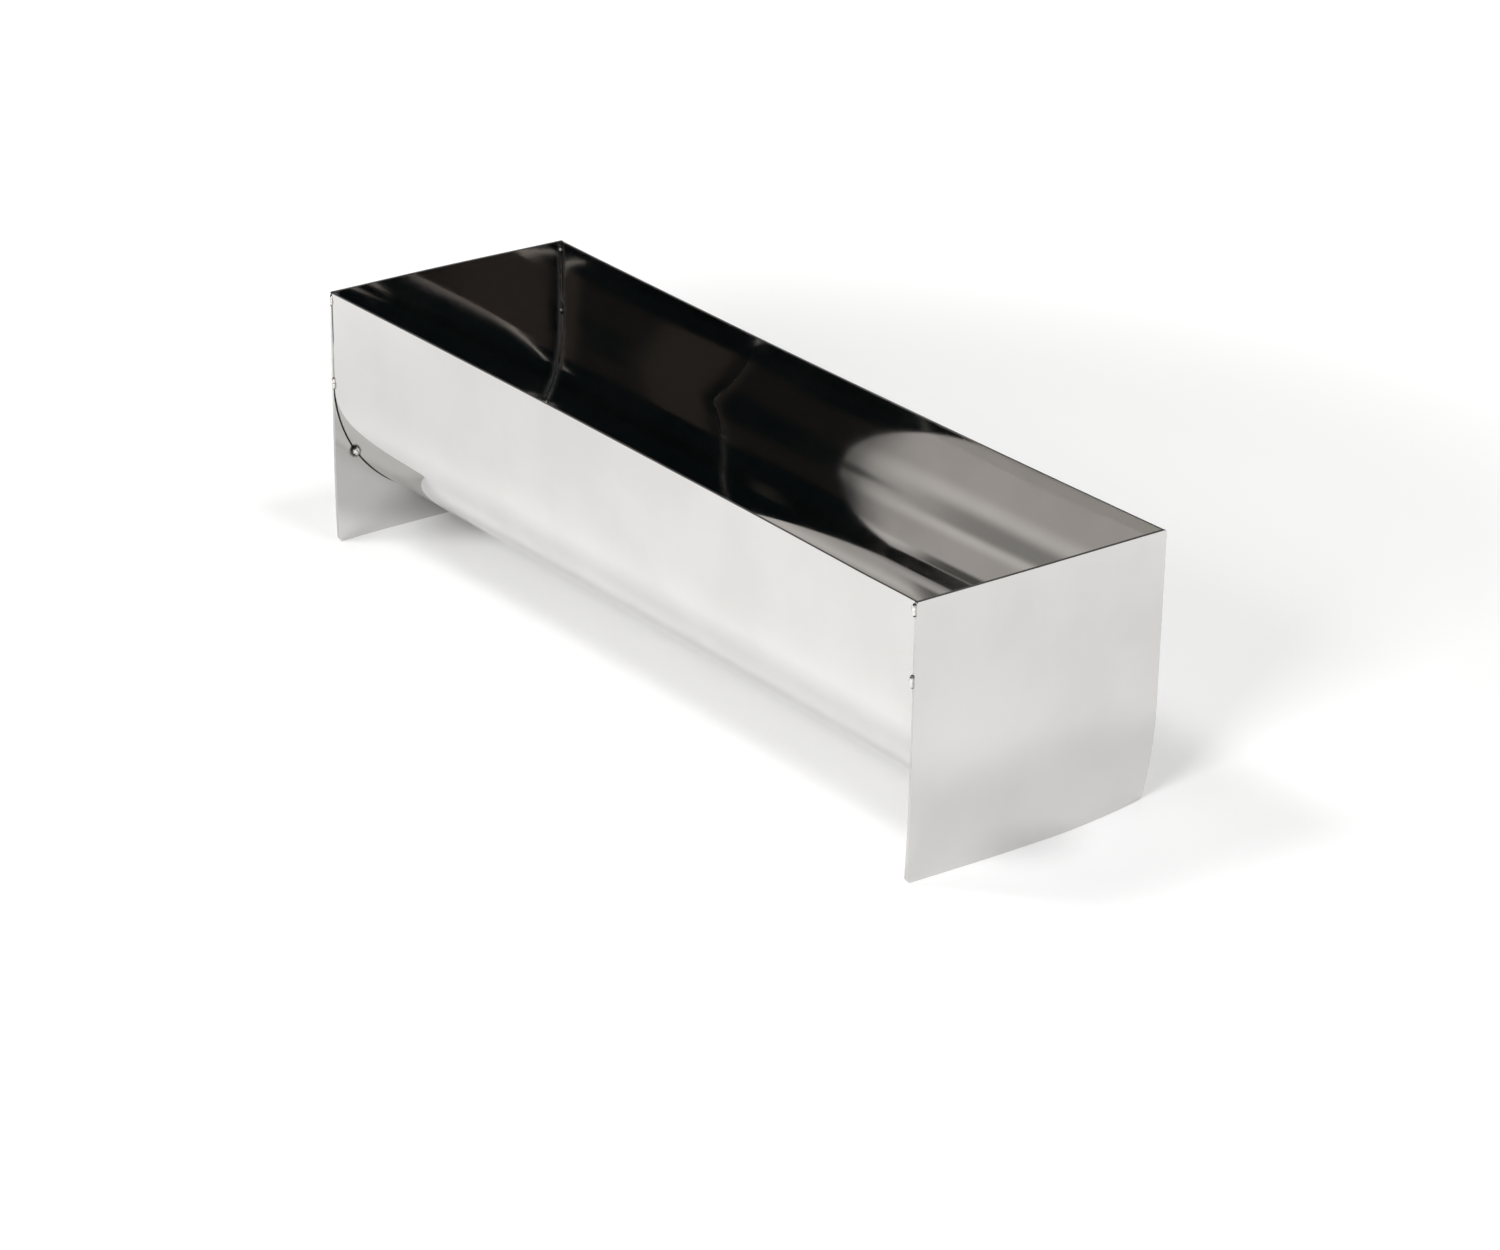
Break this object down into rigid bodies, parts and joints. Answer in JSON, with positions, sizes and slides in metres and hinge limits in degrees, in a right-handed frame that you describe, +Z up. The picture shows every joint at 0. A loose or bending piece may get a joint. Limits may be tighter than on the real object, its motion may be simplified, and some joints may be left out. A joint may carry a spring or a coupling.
{
  "type": "half-round trough",
  "caption": "Open half-round trough bent from polished sheet steel, its ends closed by flat plates that are tack-welded on and carry it clear of the surface.",
  "frame": {"origin": "on the surface the trough stands on, under the middle of its length and width", "axes": "+X along the trough towards the right end plate, +Y towards the back wall, +Z up"},
  "size_m": [0.3, 0.0916, 0.086],
  "materials": {
    "trough_steel": "stainless sheet, mirror polished, slightly wavy",
    "plate_steel": "stainless sheet, polished with a faint haze, slightly wavy",
    "weld_metal": "bare weld metal, bright crown with a dull heat-marked edge"
  },
  "bodies": {
    "root": {"trough_sheet": "trough_steel", "left_end_plate": "plate_steel", "right_end_plate": "plate_steel", "left_rim_tacks": "weld_metal", "right_rim_tacks": "weld_metal", "left_wall_tacks": "weld_metal", "right_wall_tacks": "weld_metal", "left_curve_tacks": "weld_metal", "right_curve_tacks": "weld_metal", "left_keel_tack": "weld_metal", "right_keel_tack": "weld_metal"}
  },
  "joints": []
}
